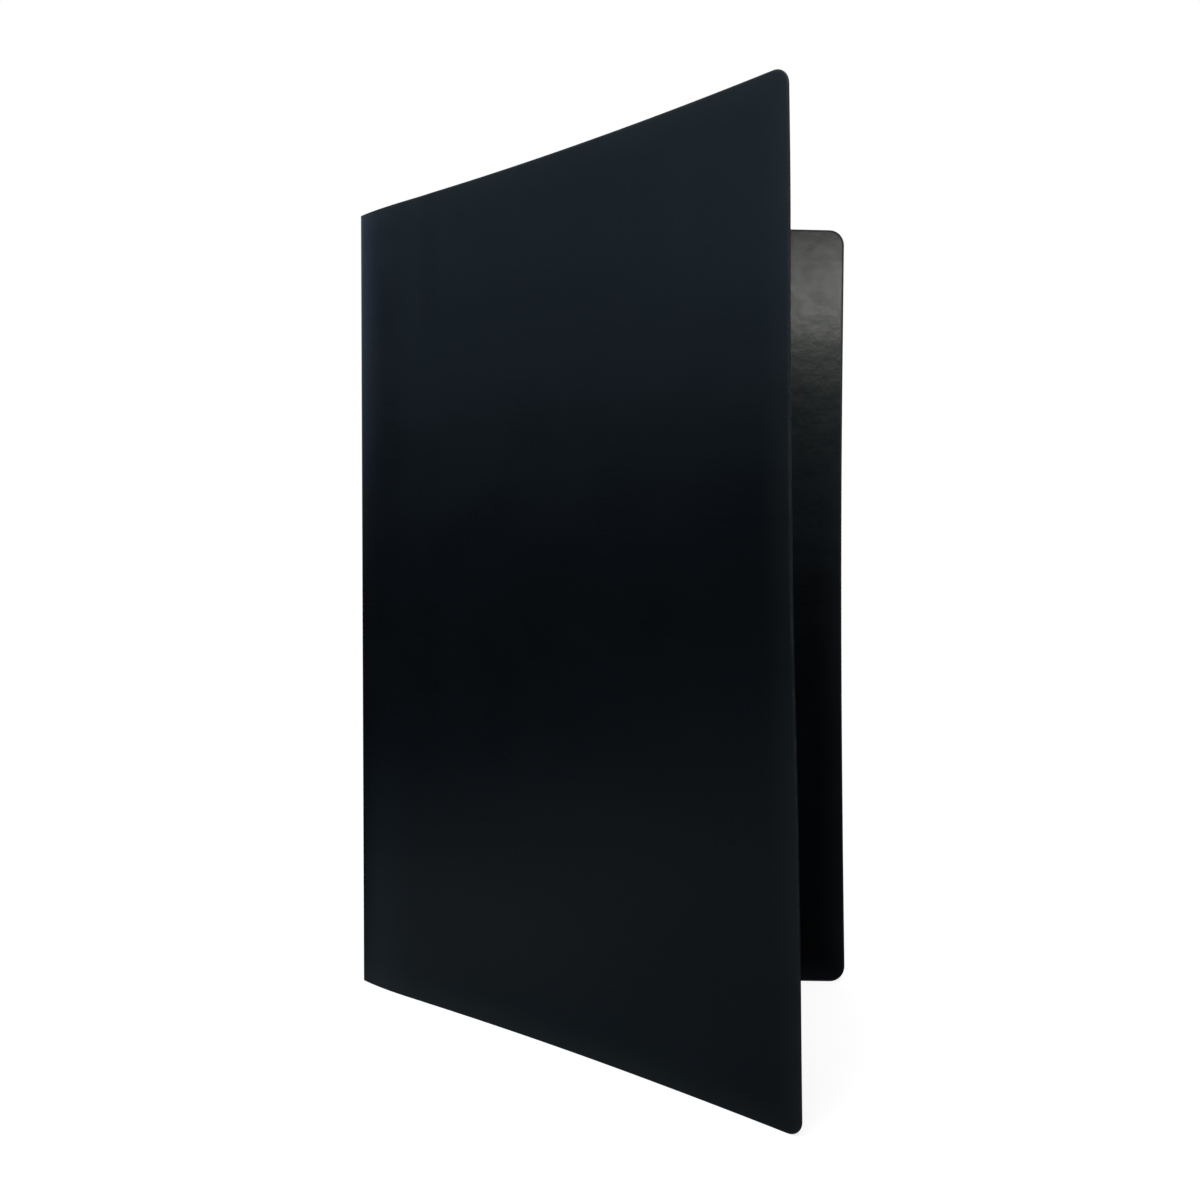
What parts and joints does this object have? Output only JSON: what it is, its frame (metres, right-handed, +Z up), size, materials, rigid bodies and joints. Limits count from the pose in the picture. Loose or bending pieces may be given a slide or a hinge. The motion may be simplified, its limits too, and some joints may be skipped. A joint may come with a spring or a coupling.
{
  "type": "fastener folder",
  "caption": "Upright two-leaf plastic folder for legal-size sheets, partly open, with a bendable prong fastener and slide locks inside its back leaf.",
  "frame": {"origin": "middle of the folder's footprint, on the surface that it stands on", "axes": "+Z up along the spine and the leaves' long edges, +X along the back leaf from the spine to its free edge, -Y towards the side where the front leaf opens"},
  "size_m": [0.2316, 0.1666, 0.362],
  "materials": {
    "cover_sheet": "satin black polypropylene sheet",
    "patch_film": "matt black bonded film",
    "fastener_steel": "tin-plated steel strip",
    "lock_steel": "bright plated steel"
  },
  "bodies": {
    "back": {"back_cover": "cover_sheet", "bonded_patch": "patch_film", "fastener_base": "fastener_steel", "compressor_bar": "fastener_steel"},
    "spine": {"spine_panel": "cover_sheet"},
    "front": {"front_cover": "cover_sheet"},
    "spine_side_prong": {"spine_side_prong": "fastener_steel"},
    "edge_side_prong": {"edge_side_prong": "fastener_steel"},
    "spine_side_lock": {"spine_side_lock": "lock_steel"},
    "edge_side_lock": {"edge_side_lock": "lock_steel"}
  },
  "joints": [
    {"name": "back_crease", "type": "hinge", "parent": "back", "child": "spine", "pos_m": [-0.11317, 0.08287, 0.181], "axis": [0, 0, 1], "range_deg": [-155, 16.5]},
    {"name": "front_crease", "type": "hinge", "parent": "spine", "child": "front", "pos_m": [-0.11543, 0.07625, 0.181], "axis": [0, 0, 1], "range_deg": [-155, 16.5]},
    {"name": "spine_side_bend", "type": "hinge", "parent": "back", "child": "spine_side_prong", "pos_m": [-0.03367, 0.07997, 0.34], "axis": [0, 0, 1], "range_deg": [-90, 0]},
    {"name": "edge_side_bend", "type": "hinge", "parent": "back", "child": "edge_side_prong", "pos_m": [0.03633, 0.07997, 0.34], "axis": [0, 0, -1], "range_deg": [-90, 0]},
    {"name": "spine_side_slide", "type": "slide", "parent": "back", "child": "spine_side_lock", "axis": [1, 0, 0], "range_m": [0, 0.015]},
    {"name": "edge_side_slide", "type": "slide", "parent": "back", "child": "edge_side_lock", "axis": [-1, 0, 0], "range_m": [0, 0.015]}
  ],
  "couplings": [
    {"joint": "front_crease", "follows": "back_crease", "ratio": 1}
  ]
}
